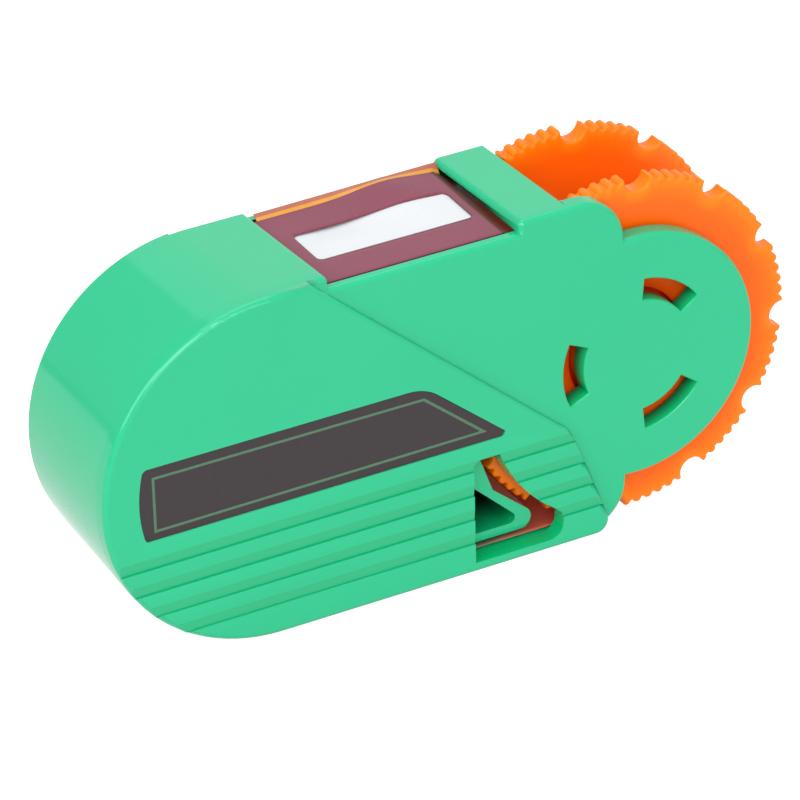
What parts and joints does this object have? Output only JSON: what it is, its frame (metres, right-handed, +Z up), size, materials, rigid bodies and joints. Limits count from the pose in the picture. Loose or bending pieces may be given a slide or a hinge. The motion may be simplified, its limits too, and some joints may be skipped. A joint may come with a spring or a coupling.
{
  "type": "fibre optic connector cleaner",
  "caption": "Hand-held reel cleaner: round-ended case, slotted film window over white cloth, and a double toothed thumb dial on an ear that winds the cloth on.",
  "frame": {"origin": "centre of the bounding box's bottom, on the plane the case stands on", "axes": "+Z up, +X from the round end to the dial, +Y from the front cover to the back"},
  "size_m": [0.1222, 0.0294, 0.0586],
  "materials": {
    "green_case": "moulded gloss",
    "orange_dial": "moulded gloss",
    "cap": "moulded gloss",
    "label": "satin sheet",
    "cloth": "fine woven",
    "core": "plain moulded",
    "felt": "felt",
    "pad": "soft foam rubber",
    "inner_plastic": "plain moulded",
    "film": "clear glossy film",
    "steel": "plain"
  },
  "bodies": {
    "case": {"front_cover": "green_case", "rear_case": "green_case", "label_plate": "label", "axle_cap": "cap", "felt_washer": "felt", "cloth_web": "cloth", "cleaning_pad": "pad", "pad_platen": "inner_plastic", "shutter_film": "film", "roller_pins": "steel", "case_screws": "steel"},
    "dial": {"front_thumb_wheel": "orange_dial", "rear_thumb_wheel": "orange_dial", "take_up_hub": "orange_dial", "used_cloth_roll": "cloth"},
    "supply": {"supply_core": "core", "cloth_roll": "cloth"},
    "left_roller": {"guide_roller_left": "inner_plastic"},
    "right_roller": {"guide_roller_right": "inner_plastic"}
  },
  "joints": [
    {"name": "dial_turn", "type": "hinge", "parent": "case", "child": "dial", "pos_m": [0.03215, 0, 0.0293], "axis": [0, 1, 0], "continuous": true},
    {"name": "supply_turn", "type": "hinge", "parent": "case", "child": "supply", "pos_m": [-0.03185, 0, 0.0293], "axis": [0, 1, 0], "continuous": true},
    {"name": "left_roller_turn", "type": "hinge", "parent": "case", "child": "left_roller", "pos_m": [-0.02465, 0, 0.0524], "axis": [0, 1, 0], "continuous": true},
    {"name": "right_roller_turn", "type": "hinge", "parent": "case", "child": "right_roller", "pos_m": [0.00755, 0, 0.0524], "axis": [0, 1, 0], "continuous": true}
  ],
  "couplings": [
    {"joint": "supply_turn", "follows": "dial_turn", "ratio": 0.6824},
    {"joint": "left_roller_turn", "follows": "dial_turn", "ratio": 3.7419},
    {"joint": "right_roller_turn", "follows": "dial_turn", "ratio": 3.7419}
  ]
}
